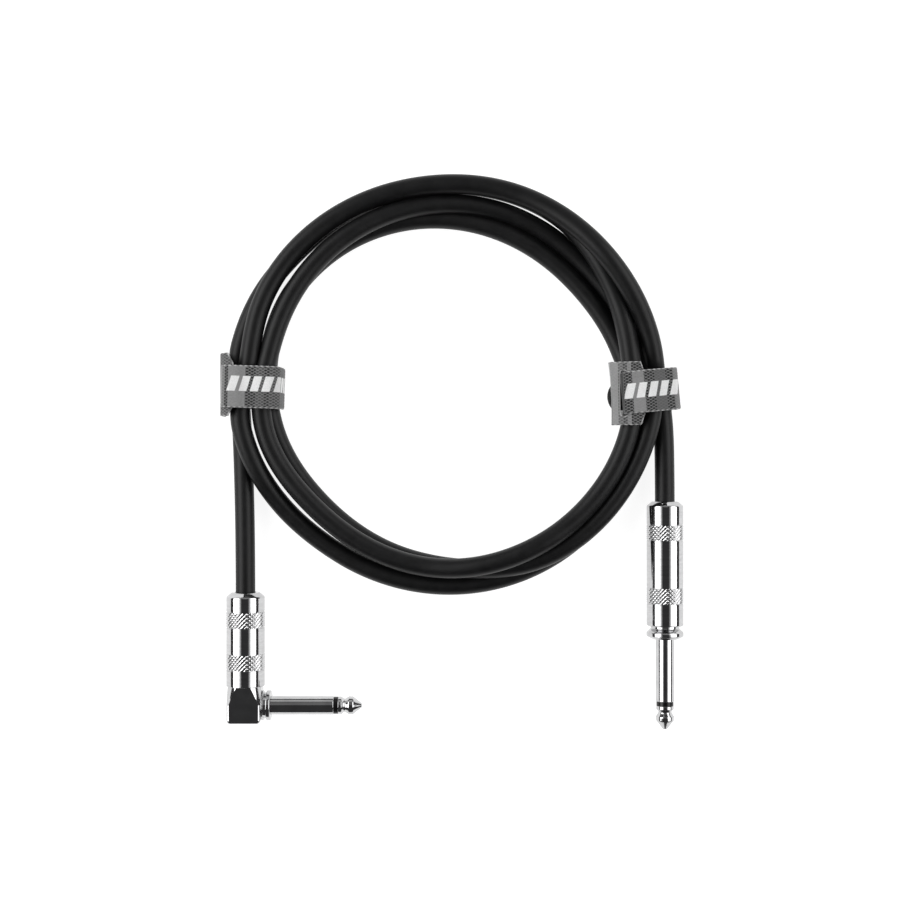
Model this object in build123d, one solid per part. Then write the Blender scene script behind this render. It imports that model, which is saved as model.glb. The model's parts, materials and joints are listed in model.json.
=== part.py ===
"""Coiled instrument cable with a straight and a right-angle 6.35 mm plug, in millimetres.

The cable lies on the plane Z = 0. +X runs from the coil's left tie to its right tie, the straight
plug points along -Y, and the right-angle plug's contact points along +X. The origin is the middle
of the footprint of the plugs and ties, on that plane."""

from build123d import *

import math
import os

# ---- cord ----
CORD_D = 6.8
CORD_R = CORD_D / 2
CORE_R = 1.1  # the insulated inner conductor
SCREEN_R = 0.8  # the screen, twisted into a tail
SCREEN_Y = -2.7  # the tail lies on the earth lug's strap
BEND_SHARE = 0.45  # how much of the shorter run an arc takes on each side of a corner
STRAIGHT_CORD_IN = 13.0  # length of jacket inside the straight plug's handle
ANGLE_CORD_IN = 15.0

# ---- coil ----
COIL_CENTRE = (-1.9, 54.7)
COIL_OUTER = (76.0, 72.8)  # semi-axes along X and Y
COIL_INNER = (60.6, 55.4)  # semi-axes, the longer one turned by COIL_INNER_TURN
COIL_INNER_SHIFT = -2.8  # along Y
COIL_INNER_TURN = -31.5
COIL_HEIGHT = 18.4
COIL_ROUNDING = 5.0

# ---- ties ----
WEB_T = 1.15  # thickness of the webbing
STRAP_W = 14.4
HEAD_W = 21.6
BUNDLE_TOP = 14.9  # top of the cords where a tie squeezes them
BUNDLE_ROUNDING = 3.4
# Each tie: X of the cords' two sides, Y of the strap's middle, the strap's turn about Z in degrees,
# and whether the head has slid round to the outer side of the coil.
TIES = {
    "left": {"sides": (-77.7, -60.9), "y": 54.05, "turn": 0.0, "head_on_side": True},
    "right": {"sides": (58.7, 74.4), "y": 52.2, "turn": 5.5, "head_on_side": False},
}
HEAD_OUT = 5.2  # how far a head that lies on top stands past the cords
HEAD_ON_TOP = 6.6  # length of such a head on the cords
HEAD_SHOULDER = 5.3  # how much of that length is as wide as the head
TAIL_TOP = BUNDLE_TOP - 2.0  # where the strap's free tail starts, hanging down the side
TAIL_DROP = 10.5  # length of the free tail
TAIL_GAP = 0.3  # between the hanging tail and the band behind it
TAIL_T = 0.85
PAD_T = 0.5  # the hook pad sewn to the inner face of the tail
PAD_INSET = 1.0  # from the tail's edges

# ---- plug contacts, the same on both plugs ----
SHANK_R = 3.175
SHANK_L = 21.8
RING_L = 1.5
TIP_L = 8.2
RING_STEP = 0.22  # how far the insulating ring lies below the sleeve
TIP_COLLAR = (3.0, 1.2)  # radius and length
TIP_WAIST = (2.15, 2.2)  # radius, and distance from the ring
TIP_BALL = (3.15, 3.8)
TIP_SHOULDER = (3.05, 5.2)
TIP_END_R = 0.7
ROD_R = 1.15
ROD_TUBE_R = 1.85
WASHER_R = 3.6
WASHER_L = 1.0
LUG_R = 2.3
LUG_T = 0.5
TONGUE_W = 2.2
TONGUE_OFF = 1.8  # from the axis to the tongue
TONGUE_L = 6.5
CLEARANCE = 0.05  # between turned parts that slide on each other

# ---- straight plug: distances run backwards from the flange's front face ----
STRAIGHT_X = 73.6
STRAIGHT_FLANGE_Y = -33.35
FLANGE_R = 6.4
FLANGE_SEAT_R = 4.9  # the flange's flat face, which lies on the socket
FLANGE_RIM = (0.9, 2.2)  # the flange's full width, measured from that face
FLANGE_L = 3.6  # where the flare ends and the neck starts
STRAIGHT_NECK_R = 4.85
STRAIGHT_FRONT = 4.45  # where the handle starts
STRAIGHT_HANDLE_R = 6.35
STRAIGHT_HANDLE_L = 43.1
STRAIGHT_BANDS = ((8.2, 13.3), (29.95, 35.2))  # knurled bands, from the handle's rear

# ---- right-angle plug ----
ANGLE_X = -71.95
ANGLE_SHANK_Y = -56.55
ANGLE_Z = 6.65
ELBOW_W = 11.6
ELBOW_L = 12.5
ELBOW_T = 11.4
ELBOW_TOP_Y = -49.7
ELBOW_LEFT = -77.8
ELBOW_EDGE = 1.0  # rounding of the front's and the back's edges
ELBOW_CORNER = 1.4  # rounding of the corners at the closed end
COLLAR_R = 5.15
COLLAR_L = 3.1
ANGLE_HANDLE_R = 6.65
ANGLE_HANDLE_L = 32.4
ANGLE_BANDS = ((6.7, 11.95), (21.3, 26.55))
ELBOW_THROAT_R = 6.2  # where the housing's cone meets the handle
ELBOW_CONE = (7.65, 5.9)  # the cone's radius at that distance from the handle
CROSS_BORE_R = 4.0  # the sleeve's boss and the cap are pressed into it
SLEEVE_BOSS_L = 3.0
CAP_L = 1.6
LINK_R = 0.7  # the rod from the contact's rod to the solder lug

# ---- inside both handles ----
THREAD_L = 7.0
WALL = 1.3  # handle's wall over the thread
REAR_WALL = 6.0  # solid metal behind the liner's chamber
LINER_T = 0.45
ENTRY_R = CORD_R + 0.35  # the hole that the cord goes in by
REAR_TAPER = (1.8, 1.5)  # the handle's tapered rear edge, across and along
KNURL_DEPTH = 0.2
KNURL_GROOVE = 0.3  # width of the groove at each end of a band
CLAMP_L = 5.0
CLAMP_T = 0.7
CLAMP_MOUTH = 2.0  # width of the clamp's open side
EARTH_RING_R = (3.7, 4.3)  # inner and outer
EARTH_STRAP_W = 3.2

# ---- the two leads' routes, from inside each plug to where the cord joins the coil ----
STRAIGHT_REAR_Y = STRAIGHT_FLANGE_Y + STRAIGHT_FRONT + STRAIGHT_HANDLE_L
ANGLE_REAR_Y = ELBOW_TOP_Y + ANGLE_HANDLE_L
LEADS = {
    "straight": [
        (STRAIGHT_X, STRAIGHT_REAR_Y - STRAIGHT_CORD_IN, FLANGE_R),
        (STRAIGHT_X, 22.5, FLANGE_R),
        (73.3, 43.0, 4.2),
    ],
    "angle": [
        (ANGLE_X, ANGLE_REAR_Y - ANGLE_CORD_IN, ANGLE_Z),
        (ANGLE_X, -2.0, ANGLE_Z),
        (-73.1, 27.0, CORD_R + 0.1),
        (-73.8, 44.0, CORD_R + 0.6),
    ],
}


def turned(points, rounds=None):
    """A solid of revolution about Z from (radius, height) points. rounds gives corner radii by index."""
    rounds = rounds or {}
    radii = [rounds.get(i, 0) for i in range(len(points))]
    outline = FilletPolyline(*[(r, z) for r, z in points], radius=radii, close=True)
    return revolve(make_face(Plane.XZ * outline), Axis.Z)


def tube(outer, inner, low, high):
    return turned([(inner, low), (outer, low), (outer, high), (inner, high)])


def rod(radius, low, high):
    return Pos(0, 0, (low + high) / 2) * Cylinder(radius, high - low)


def block(low, high):
    """A box between two corners."""
    size = [b - a for a, b in zip(low, high)]
    middle = [(a + b) / 2 for a, b in zip(low, high)]
    return Pos(*middle) * Box(*size)


# ---------------------------------------------------------------- contacts


def contact_tip(rod_end):
    """Tip and its rod: a collar, a waist, a ball and a blunt cone. Z = 0 is the sleeve's front shoulder."""
    base = -(SHANK_L + RING_L)
    end = base - TIP_L
    collar_r, collar_l = TIP_COLLAR
    waist_r, waist_at = TIP_WAIST
    ball_r, ball_at = TIP_BALL
    shoulder_r, shoulder_at = TIP_SHOULDER
    points = [
        (0, rod_end),
        (ROD_R, rod_end),
        (ROD_R, base),
        (collar_r, base),
        (collar_r, base - collar_l),
        (waist_r, base - waist_at),
        (ball_r, base - ball_at),
        (shoulder_r, base - shoulder_at),
        (TIP_END_R, end),
        (0, end),
    ]
    return turned(points, {3: 0.2, 4: 0.4, 5: 0.6, 6: 0.7, 7: 0.8, 8: 0.4})


def contact_ring():
    back = -SHANK_L
    return tube(SHANK_R - RING_STEP, ROD_R, back - RING_L, back)


def rod_tube(back):
    return tube(ROD_TUBE_R, ROD_R + CLEARANCE, -SHANK_L, back)


def rear_washer(start):
    return tube(WASHER_R, ROD_R + CLEARANCE, start, start + WASHER_L)


def tip_lug(start, rod_r, tongue_l):
    """Ring round the rod's end, with a tongue that runs back towards the cord."""
    ring = tube(LUG_R, rod_r, start, start + LUG_T)
    half = TONGUE_W / 2
    tongue = block((-half, TONGUE_OFF, start), (half, TONGUE_OFF + LUG_T, start + tongue_l))
    return ring + tongue


def earth_lug(start, clamp_at):
    """Ring staked on the sleeve's rear, a strap along the side, and a clamp round the cord's jacket."""
    outer = CORD_R + CLAMP_T
    ring_in, ring_out = EARTH_RING_R
    clamp_end = clamp_at + CLAMP_L
    half = EARTH_STRAP_W / 2
    ring = tube(ring_out, ring_in, start, start + LUG_T)
    strap = block((-half, -ring_out, start), (half, CLAMP_T - ring_out, clamp_end))
    clamp = tube(outer, CORD_R, clamp_at, clamp_end)
    open_side = CLAMP_MOUTH / 2
    mouth = block((-open_side, 0, clamp_at - 1), (open_side, outer + 1, clamp_end + 1))
    strap -= rod(CORD_R, start - 1, clamp_end + 1)
    return ring + strap + (clamp - mouth)


def core(start, jacket_end):
    """The insulated inner conductor from the cut jacket to the tip's solder lug."""
    path = FilletPolyline(
        (0, 0, jacket_end), (0, 0, jacket_end - 2.2), (0, 0.5, start + 3.6), radius=1.0
    )
    return sweep(Plane(path @ 0, z_dir=path % 0) * Circle(CORE_R), path=path)


def solder_bead(radius, at):
    return Pos(*at) * Sphere(radius)


def screen_tail(start, jacket_end):
    """The screen's wires twisted together, from the cut jacket to the earth lug."""
    inner = -CORE_R - SCREEN_R
    path = FilletPolyline(
        (0, inner, jacket_end),
        (0, inner, jacket_end - 1),
        (0, SCREEN_Y, jacket_end - 3),
        (0, SCREEN_Y, start + 2),
        radius=0.9,
    )
    return sweep(Plane(path @ 0, z_dir=path % 0) * Circle(SCREEN_R), path=path)


def handle(radius, length, front, thread_r, bands, front_round):
    """Turned handle from front backwards: thread, liner chamber, rear wall and two knurled bands."""
    rear = front + length
    chamber = radius - WALL + 0.3
    wall_at = rear - REAR_WALL
    outline = [
        (thread_r, front),
        (radius, front),
        (radius, rear - REAR_TAPER[1]),
        (radius - REAR_TAPER[0], rear),
        (ENTRY_R, rear),
        (ENTRY_R, wall_at),
        (chamber, wall_at),
        (chamber, front + THREAD_L),
        (thread_r, front + THREAD_L),
    ]
    shell = turned(outline, {1: front_round, 2: 0.8, 3: 0.6, 4: 0.3})
    half = KNURL_GROOVE / 2
    for at in [end for band in bands for end in band]:
        shell -= tube(radius + 1, radius - KNURL_DEPTH, rear - at - half, rear - at + half)
    return shell


def liner(radius, length, front):
    chamber = radius - WALL + 0.3
    outer = chamber - CLEARANCE
    return tube(outer, outer - LINER_T, front + THREAD_L + 0.8, front + length - REAR_WALL - 0.4)


# ---------------------------------------------------------------- straight plug


def straight_sleeve():
    """Plug sleeve, flange, neck and threaded boss in one turned piece, bored for the rod's tube."""
    bore = ROD_TUBE_R + CLEARANCE
    thread = STRAIGHT_HANDLE_R - WALL - CLEARANCE
    back = STRAIGHT_FRONT + THREAD_L
    points = [
        (bore, -SHANK_L),
        (SHANK_R, -SHANK_L),
        (SHANK_R, 0),
        (FLANGE_SEAT_R, 0),
        (FLANGE_R, FLANGE_RIM[0]),
        (FLANGE_R, FLANGE_RIM[1]),
        (STRAIGHT_NECK_R, FLANGE_L),
        (STRAIGHT_NECK_R, STRAIGHT_FRONT),
        (thread, STRAIGHT_FRONT),
        (thread, back),
        (bore, back),
    ]
    return turned(points, {1: 0.25, 3: 0.5, 4: 0.4, 5: 0.5, 6: 0.8, 9: 0.3})


def straight_plug():
    boss_back = STRAIGHT_FRONT + THREAD_L
    rear = STRAIGHT_FRONT + STRAIGHT_HANDLE_L
    lug = boss_back + WASHER_L
    rod_end = lug + LUG_T + 0.4
    jacket_end = rear - STRAIGHT_CORD_IN
    clamp_at = jacket_end + 0.6
    return {
        "straight_sleeve": straight_sleeve(),
        "straight_tip": contact_tip(rod_end),
        "straight_tip_ring": contact_ring(),
        "straight_rod_tube": rod_tube(boss_back),
        "straight_rear_washer": rear_washer(boss_back),
        "straight_tip_lug": tip_lug(lug, ROD_R, TONGUE_L),
        "straight_earth_lug": earth_lug(boss_back, clamp_at),
        "straight_core": core(lug + 2.0, jacket_end),
        "straight_screen_tail": screen_tail(boss_back, jacket_end),
        "straight_core_solder": solder_bead(1.0, (0, 1.0, lug + 4.2)),
        "straight_screen_solder": solder_bead(0.9, (0, SCREEN_Y, boss_back + 2.2)),
        "straight_liner": liner(STRAIGHT_HANDLE_R, STRAIGHT_HANDLE_L, STRAIGHT_FRONT),
        "straight_handle": handle(
            STRAIGHT_HANDLE_R,
            STRAIGHT_HANDLE_L,
            STRAIGHT_FRONT,
            STRAIGHT_HANDLE_R - WALL,
            STRAIGHT_BANDS,
            0.5,
        ),
    }


# ---------------------------------------------------------------- right-angle plug


def elbow_housing():
    """Square elbow block with a flat front, coned in towards the handle, with its threaded boss."""
    low = (ELBOW_LEFT, ELBOW_TOP_Y - ELBOW_L, ANGLE_Z - ELBOW_T / 2)
    high = (ELBOW_LEFT + ELBOW_W, ELBOW_TOP_Y, ANGLE_Z + ELBOW_T / 2)
    body = block(low, high)
    body = fillet(body.edges().filter_by(Axis.Z).group_by(Axis.Y)[0], ELBOW_CORNER)
    faces = body.faces().sort_by(Axis.Z)
    rims = [edge for face in (faces[0], faces[-1]) for edge in face.edges()]
    body = fillet([edge for edge in rims if edge.center().Y < ELBOW_TOP_Y - 0.1], ELBOW_EDGE)
    to_handle = Pos(ANGLE_X, ELBOW_TOP_Y, ANGLE_Z) * Rot(-90, 0, 0)
    cone_r, cone_l = ELBOW_CONE
    clear_r, clear_l = ELBOW_W, ELBOW_L + 1
    cone = turned(
        [
            (0, 0),
            (ELBOW_THROAT_R, 0),
            (cone_r, -cone_l),
            (clear_r, -cone_l),
            (clear_r, -clear_l),
            (0, -clear_l),
        ]
    )
    body &= to_handle * cone
    thread = ANGLE_HANDLE_R - WALL - CLEARANCE
    body += to_handle * rod(thread, -1, THREAD_L)
    body -= to_handle * rod(LUG_R + 0.3, ANGLE_SHANK_Y - ELBOW_TOP_Y, THREAD_L + 1)
    across = Pos(ELBOW_LEFT, ANGLE_SHANK_Y, ANGLE_Z) * Rot(0, 90, 0)
    body -= across * rod(CROSS_BORE_R, -1, ELBOW_W + 1)
    return body


def angle_sleeve():
    """Plug sleeve with a grooved collar and a boss that is pressed into the housing."""
    bore = ROD_TUBE_R + CLEARANCE
    rim = 1.45
    groove_r = COLLAR_R - 0.7
    back = COLLAR_L + SLEEVE_BOSS_L
    points = [
        (bore, -SHANK_L),
        (SHANK_R, -SHANK_L),
        (SHANK_R, 0),
        (COLLAR_R, 0),
        (COLLAR_R, rim),
        (groove_r, rim),
        (groove_r, rim + 1.0),
        (COLLAR_R, rim + 1.0),
        (COLLAR_R, COLLAR_L),
        (CROSS_BORE_R, COLLAR_L),
        (CROSS_BORE_R, back),
        (bore, back),
    ]
    return turned(points, {1: 0.25, 3: 0.4, 4: 0.25, 7: 0.2, 8: 0.2})


def angle_plug():
    """The pieces on the contact's axis, and those on the handle's axis, in their own frames."""
    boss_back = COLLAR_L + SLEEVE_BOSS_L
    cap_end = COLLAR_L + ELBOW_W
    contact = {
        "angle_sleeve": angle_sleeve(),
        "angle_tip": contact_tip(boss_back + 3.0),
        "angle_tip_ring": contact_ring(),
        "angle_rod_tube": rod_tube(boss_back + 1.0),
        "angle_bore_cap": rod(CROSS_BORE_R, cap_end - CAP_L, cap_end),
    }
    rear = ANGLE_HANDLE_L
    jacket_end = rear - ANGLE_CORD_IN
    lug = THREAD_L + WASHER_L
    link_low = ANGLE_SHANK_Y - ELBOW_TOP_Y + ROD_R - 0.4
    barrel = {
        "angle_link_rod": rod(LINK_R, link_low, lug + LUG_T + 0.4),
        "angle_rear_washer": tube(WASHER_R, LINK_R, THREAD_L, lug),
        "angle_tip_lug": tip_lug(lug, LINK_R, TONGUE_L - 1.9),
        "angle_earth_lug": earth_lug(THREAD_L, jacket_end + 0.6),
        "angle_core": core(lug + 0.6, jacket_end),
        "angle_screen_tail": screen_tail(THREAD_L, jacket_end),
        "angle_core_solder": solder_bead(1.0, (0, 1.0, lug + 3.0)),
        "angle_screen_solder": solder_bead(0.9, (0, SCREEN_Y, THREAD_L + 2.2)),
        "angle_liner": liner(ANGLE_HANDLE_R, ANGLE_HANDLE_L, 0),
        "angle_handle": handle(
            ANGLE_HANDLE_R, ANGLE_HANDLE_L, 0, ANGLE_HANDLE_R - WALL, ANGLE_BANDS, 0.3
        ),
    }
    return contact, barrel


# ---------------------------------------------------------------- ties


def band_outline(width, layer):
    """Face of a rounded frame in the XZ plane, round cords of that width with layer webbings inside it."""
    grow = layer * WEB_T
    outline = RectangleRounded(
        width + 2 * grow, BUNDLE_TOP - WEB_T + 2 * grow, BUNDLE_ROUNDING + grow
    )
    return Plane.XZ * Pos(0, (BUNDLE_TOP + WEB_T) / 2) * outline


def wrapped(width, inside, outside, along):
    """A closed layer of webbing round the cords, between two numbers of layers, along wide in Y."""
    face = band_outline(width, outside) - band_outline(width, inside)
    return extrude(face, along / 2, both=True)


def tie_width(place):
    low, high = place["sides"]
    return high - low


def at_tie(place):
    """From a tie's own frame, with its origin under the middle of the cords, to where the tie lies."""
    return Pos(sum(place["sides"]) / 2, place["y"], 0) * Rot(0, 0, place["turn"])


def head_on_side(width):
    """The head wrapped round the cords' -X side, over the band."""
    edge = width / 2
    head = wrapped(width, 1, 1.95, HEAD_W)
    reach = block((-edge - 4, -HEAD_W / 2, 3.0), (-edge + 2.0, HEAD_W / 2, BUNDLE_TOP + 4))
    return head & reach


def head_on_top(width):
    """The head flat on the cords, past their -X side, with the slot that the strap comes up through."""
    edge = -width / 2
    shoulder = edge + HEAD_SHOULDER
    end = edge + HEAD_ON_TOP
    half_head = HEAD_W / 2
    half_strap = STRAP_W / 2
    corners = [
        (edge - HEAD_OUT, -half_head),
        (shoulder, -half_head),
        (end, -half_strap),
        (end, half_strap),
        (shoulder, half_head),
        (edge - HEAD_OUT, half_head),
    ]
    outline = FilletPolyline(*corners, radius=[0.6, 0.8, 0.8, 0.8, 0.8, 0.6], close=True)
    plate = extrude(Plane.XY.offset(BUNDLE_TOP + 0.1) * make_face(outline), WEB_T)
    slot = block((edge - 1.6, -half_strap - 0.6, 0), (edge - 0.35, half_strap + 0.6, BUNDLE_TOP + 4))
    return plate - slot


def tie(place):
    """The band with its slotted head and folded-back strap, and the free tail that hangs on the +X side."""
    width = tie_width(place)
    edge = width / 2
    half = STRAP_W / 2
    top = BUNDLE_TOP + WEB_T
    if place["head_on_side"]:
        head = head_on_side(width)
        strap_start = (-edge - 2 * WEB_T - 1, BUNDLE_TOP - 7)
    else:
        head = head_on_top(width)
        strap_start = (-edge - 0.2, top)
    out = edge + WEB_T
    strap_reach = block((strap_start[0], -half, strap_start[1]), (out - 3.0, half, top + 3))
    strap_reach += block((out - 3.1, -half, TAIL_TOP), (out + 3, half, top + 3))
    strap = wrapped(width, 1, 2, STRAP_W) & strap_reach
    band = wrapped(width, 0, 1, STRAP_W) + strap + head
    tail_in = out + TAIL_GAP
    pad_out = tail_in + PAD_T
    tail_end = TAIL_TOP - TAIL_DROP
    tail = block((pad_out, -half, tail_end), (pad_out + TAIL_T, half, TAIL_TOP - TAIL_GAP))
    pad_half = half - PAD_INSET
    pad = block(
        (tail_in, -pad_half, tail_end + PAD_INSET), (pad_out, pad_half, TAIL_TOP - PAD_INSET)
    )
    return band, tail, pad


# ---------------------------------------------------------------- cord


def ellipse_face(semi, turn, shift):
    return Pos(COIL_CENTRE[0], COIL_CENTRE[1] + shift) * Rot(0, 0, turn) * Ellipse(*semi)


def coil():
    """The coil's outer shape: a ring between two ellipses, squeezed where each tie goes round it."""
    face = ellipse_face(COIL_OUTER, 0, 0) - ellipse_face(COIL_INNER, COIL_INNER_TURN, COIL_INNER_SHIFT)
    ring = extrude(face, COIL_HEIGHT)
    ring = fillet(ring.edges().filter_by(GeomType.LINE, reverse=True), COIL_ROUNDING)
    half_cut = HEAD_W / 2 + 0.3
    for place in TIES.values():
        width = tie_width(place)
        reach = width / 2 + 6
        around = block((-reach, -half_cut, -1), (reach, half_cut, COIL_HEIGHT + 1))
        cords = extrude(band_outline(width, 0), half_cut + 1, both=True)
        ring -= at_tie(place) * (around - cords)
    return ring


def arc_radii(points):
    """The largest arc that each corner's two runs allow."""
    radii = []
    for before, at, after in zip(points, points[1:], points[2:]):
        run_in = Vector(*at) - Vector(*before)
        run_out = Vector(*after) - Vector(*at)
        turn = math.radians(run_in.get_angle(run_out))
        radii.append(BEND_SHARE * min(run_in.length, run_out.length) / math.tan(turn / 2))
    return radii


def lead(name):
    points = LEADS[name]
    radii = arc_radii(points)
    path = FilletPolyline(*points, radius=radii)
    solid = sweep(Plane(path @ 0, z_dir=path % 0) * Circle(CORD_R), path=path)
    expected = math.pi * CORD_R**2 * path.length
    print(f"{name} lead: radii {[round(r, 1) for r in radii]} mm, length {path.length:.1f} mm")
    print(f"{name} lead: volume {solid.volume:.1f} mm3, section times length {expected:.1f} mm3")
    return solid


# ---------------------------------------------------------------- assembly


def build():
    nodes = {}
    to_straight = Pos(STRAIGHT_X, STRAIGHT_FLANGE_Y, FLANGE_R) * Rot(-90, 0, 0)
    for name, shape in straight_plug().items():
        nodes[name] = to_straight * shape
    contact, barrel = angle_plug()
    shank_start = ELBOW_LEFT + ELBOW_W + COLLAR_L
    to_contact = Pos(shank_start, ANGLE_SHANK_Y, ANGLE_Z) * Rot(0, -90, 0)
    for name, shape in contact.items():
        nodes[name] = to_contact * shape
    to_barrel = Pos(ANGLE_X, ELBOW_TOP_Y, ANGLE_Z) * Rot(-90, 0, 0)
    for name, shape in barrel.items():
        nodes[name] = to_barrel * shape
    nodes["angle_housing"] = elbow_housing()
    for side, place in TIES.items():
        band, tail, pad = tie(place)
        nodes[f"{side}_tie_band"] = at_tie(place) * band
        nodes[f"{side}_tie_tail"] = at_tie(place) * tail
        nodes[f"{side}_tie_hook_pad"] = at_tie(place) * pad
    nodes["cord_coil"] = coil()
    for name in LEADS:
        nodes[f"cord_lead_{name}"] = lead(name)
    return nodes


os.makedirs("parts", exist_ok=True)
for node, shape in build().items():
    export_step(shape, f"parts/{node}.step")
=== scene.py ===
"""Looks of the coiled instrument cable: cord, knurled plugs, woven ties, floor, light and camera.

Everything is in metres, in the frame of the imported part. Sizes in millimetres are multiplied by MM."""

import json
import math

import bpy
import numpy as np
from mathutils import Matrix, Vector


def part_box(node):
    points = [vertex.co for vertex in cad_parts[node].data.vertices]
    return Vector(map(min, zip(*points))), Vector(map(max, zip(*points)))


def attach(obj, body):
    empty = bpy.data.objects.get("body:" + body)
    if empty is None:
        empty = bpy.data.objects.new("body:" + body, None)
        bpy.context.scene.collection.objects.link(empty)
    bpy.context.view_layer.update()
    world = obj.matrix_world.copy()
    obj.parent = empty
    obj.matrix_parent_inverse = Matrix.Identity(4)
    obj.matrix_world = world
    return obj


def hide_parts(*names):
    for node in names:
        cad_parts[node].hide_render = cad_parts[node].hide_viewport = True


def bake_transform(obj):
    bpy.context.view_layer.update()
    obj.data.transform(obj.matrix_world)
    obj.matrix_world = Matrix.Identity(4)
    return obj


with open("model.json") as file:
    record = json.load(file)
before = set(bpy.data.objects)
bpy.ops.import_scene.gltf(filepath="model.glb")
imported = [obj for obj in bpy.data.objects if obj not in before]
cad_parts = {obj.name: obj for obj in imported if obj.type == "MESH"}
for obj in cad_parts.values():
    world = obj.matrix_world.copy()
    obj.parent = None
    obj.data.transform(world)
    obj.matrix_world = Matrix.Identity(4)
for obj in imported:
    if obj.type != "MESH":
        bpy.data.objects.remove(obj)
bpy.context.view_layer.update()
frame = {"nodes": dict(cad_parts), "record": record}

MM = 0.001
SAME_POINT = 1e-6  # points of a path closer than this count as one

# ---- camera and floor ----
CAMERA_AT = Vector((-1.02, 32.02, 480.0)) * MM
CAMERA_LENS = 54.56
CAMERA_SENSOR = 36.0
FLOOR_HALF = 3.0

# ---- light, in metres ----
# A softbox is a stack of strips that get dimmer towards its head. For each: where it starts and ends, as
# a share of the way from foot to head, and its share of the radiance.
SOFTBOX_STRIPS = ((0.0, 0.7, 1.0), (0.7, 0.85, 0.4), (0.85, 1.0, 0.2), (1.0, 1.17, 0.05))
SOFTBOX_FOOT = Vector((0.792, 0.22, 0.28))
SOFTBOX_HEAD = Vector((0.46, 0.22, 0.97))
SOFTBOX_WIDTH = 1.16
SOFTBOXES = (("softbox_left", -1, 3.8), ("softbox_right", 1, 2.85))  # name, side, radiance
FILLS = (  # name, foot, head, width, radiance
    ("fill_back", (0, 1.2, 0.2), (0, 1.1, 0.8), 1.0, 0.5),
    ("fill_above", (0, 1.0, 0.85), (0, 0.14, 0.95), 0.5, 0.14),
)
WORLD_DIM = (0.045, 0.045, 0.046)
WORLD_PALE = (0.95, 0.95, 0.95)
FLOOR_GLOW = 0.9

# ---- cord ----
CORD_D = 6.8
COIL_CENTRE = (-1.9, 54.65)
COIL_STEP = 7.5  # degrees between the coil's points
# The leads, from inside the right-angle plug to the coil and from the coil into the straight plug.
ANGLE_LEAD = [(-71.95, -32.3, 6.65), (-71.95, -2.0, 6.65), (-73.1, 27.0, 3.5), (-73.8, 44.0, 4.0)]
STRAIGHT_LEAD = [(73.3, 43.0, 5.4), (73.6, 22.5, 6.3), (73.6, 1.2, 6.4)]
# The turns, clockwise from the left tie: degrees turned, distance from the coil's centre, height.
COIL_TURNS = [
    # first turn: over the others at the lower left
    (7, 73.9, 4.4), (25, 72.5, 3.4), (45, 70.1, 3.4), (105, 70.6, 3.4), (120, 70.8, 3.6),
    (130, 69.3, 8.1), (140, 67.3, 9.9), (160, 64.6, 10.6), (170, 63.4, 13.5), (180, 63.9, 12.2),
    (195, 64.5, 12.8), (225, 63.8, 13.0), (245, 63.3, 14.9), (265, 63.4, 13.1), (275, 63.4, 10.5),
    (315, 62.4, 9.7), (345, 65.2, 9.8),
    # second turn: down to the floor, up and out across the last half turn at the right tie, and down
    (360, 63.9, 11.2), (370, 62.2, 10.5), (415, 62.1, 9.8), (445, 62.8, 7.4), (468, 63.3, 5.0),
    (482, 63.2, 4.4), (500, 63.6, 3.6), (510, 64.8, 3.4), (520, 66.5, 3.7), (529, 68.0, 5.2),
    (537, 69.7, 8.0), (545, 71.2, 10.6), (555, 71.0, 10.6), (600, 68.6, 10.0), (620, 64.9, 7.3),
    (640, 62.4, 3.4), (675, 60.4, 3.4), (705, 62.4, 3.8),
    # third turn: on the floor, inside the others and then outside them
    (720, 62.9, 4.6), (735, 63.4, 3.5), (750, 63.4, 3.4), (820, 57.4, 3.4), (860, 57.2, 3.4),
    (890, 61.9, 3.5), (900, 64.5, 4.6), (915, 68.1, 3.4), (950, 70.1, 3.4), (1025, 69.9, 3.4),
    (1045, 71.5, 5.2), (1055, 72.2, 8.4), (1065, 72.6, 10.4), (1070, 72.8, 10.8),
    # last half turn: over the top, and down to the straight plug's lead
    (1087, 68.5, 11.2), (1097, 69.6, 10.4), (1112, 70.2, 10.2), (1160, 68.9, 10.2),
    (1190, 69.8, 10.6), (1220, 69.5, 16.0), (1234, 70.4, 14.2), (1244, 71.3, 11.8),
    (1251, 71.8, 10.2), (1258, 72.2, 7.6),
]

# ---- handles ----
ENTRY_R = 3.75
REAR_WALL = 6.0
THREAD_L = 7.0
WALL = 1.3  # over the thread
CHAMBER_WALL = 1.0  # round the liner
REAR_TAPER = (1.8, 1.5)  # the tapered rear edge, across and along
KNURL_STARTS = 29
KNURL_DEPTH = (0.25, 0.13)  # of the two families of grooves
KNURL_FLAT = 0.18  # share of a groove's pitch that stays uncut
KNURL_COLUMNS = 12  # mesh columns to a groove
KNURL_ROW = 0.11  # distance between a band's rings of points
GROOVE = ((-0.32, 0.0), (-0.25, 0.2), (-0.05, 0.2))  # beside a band: distance from it, depth
STRAIGHT_BANDS = ((8.2, 13.3), (29.95, 35.2))  # from the handle's rear
ANGLE_BANDS = ((6.7, 11.95), (21.3, 26.55))

# ---- ties ----
WEB_T = 1.15  # from one layer of webbing to the next
WEB_SHOWN_T = 1.0  # of a layer itself
STRAP_W = 14.4
HEAD_W = 21.6
BUNDLE_TOP = 14.9
BUNDLE_ROUNDING = 3.4
TAIL_TOP = 12.9
TAIL_LAP = 1.6  # how far the tail starts inside the strap
TIES = {
    "left": {"sides": (-77.7, -61.25), "y": 53.55, "turn": -1.6, "lean": 1.3},
    "right": {"sides": (58.7, 75.0), "y": 52.2, "turn": 5.5, "lean": 0.0},
}
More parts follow.
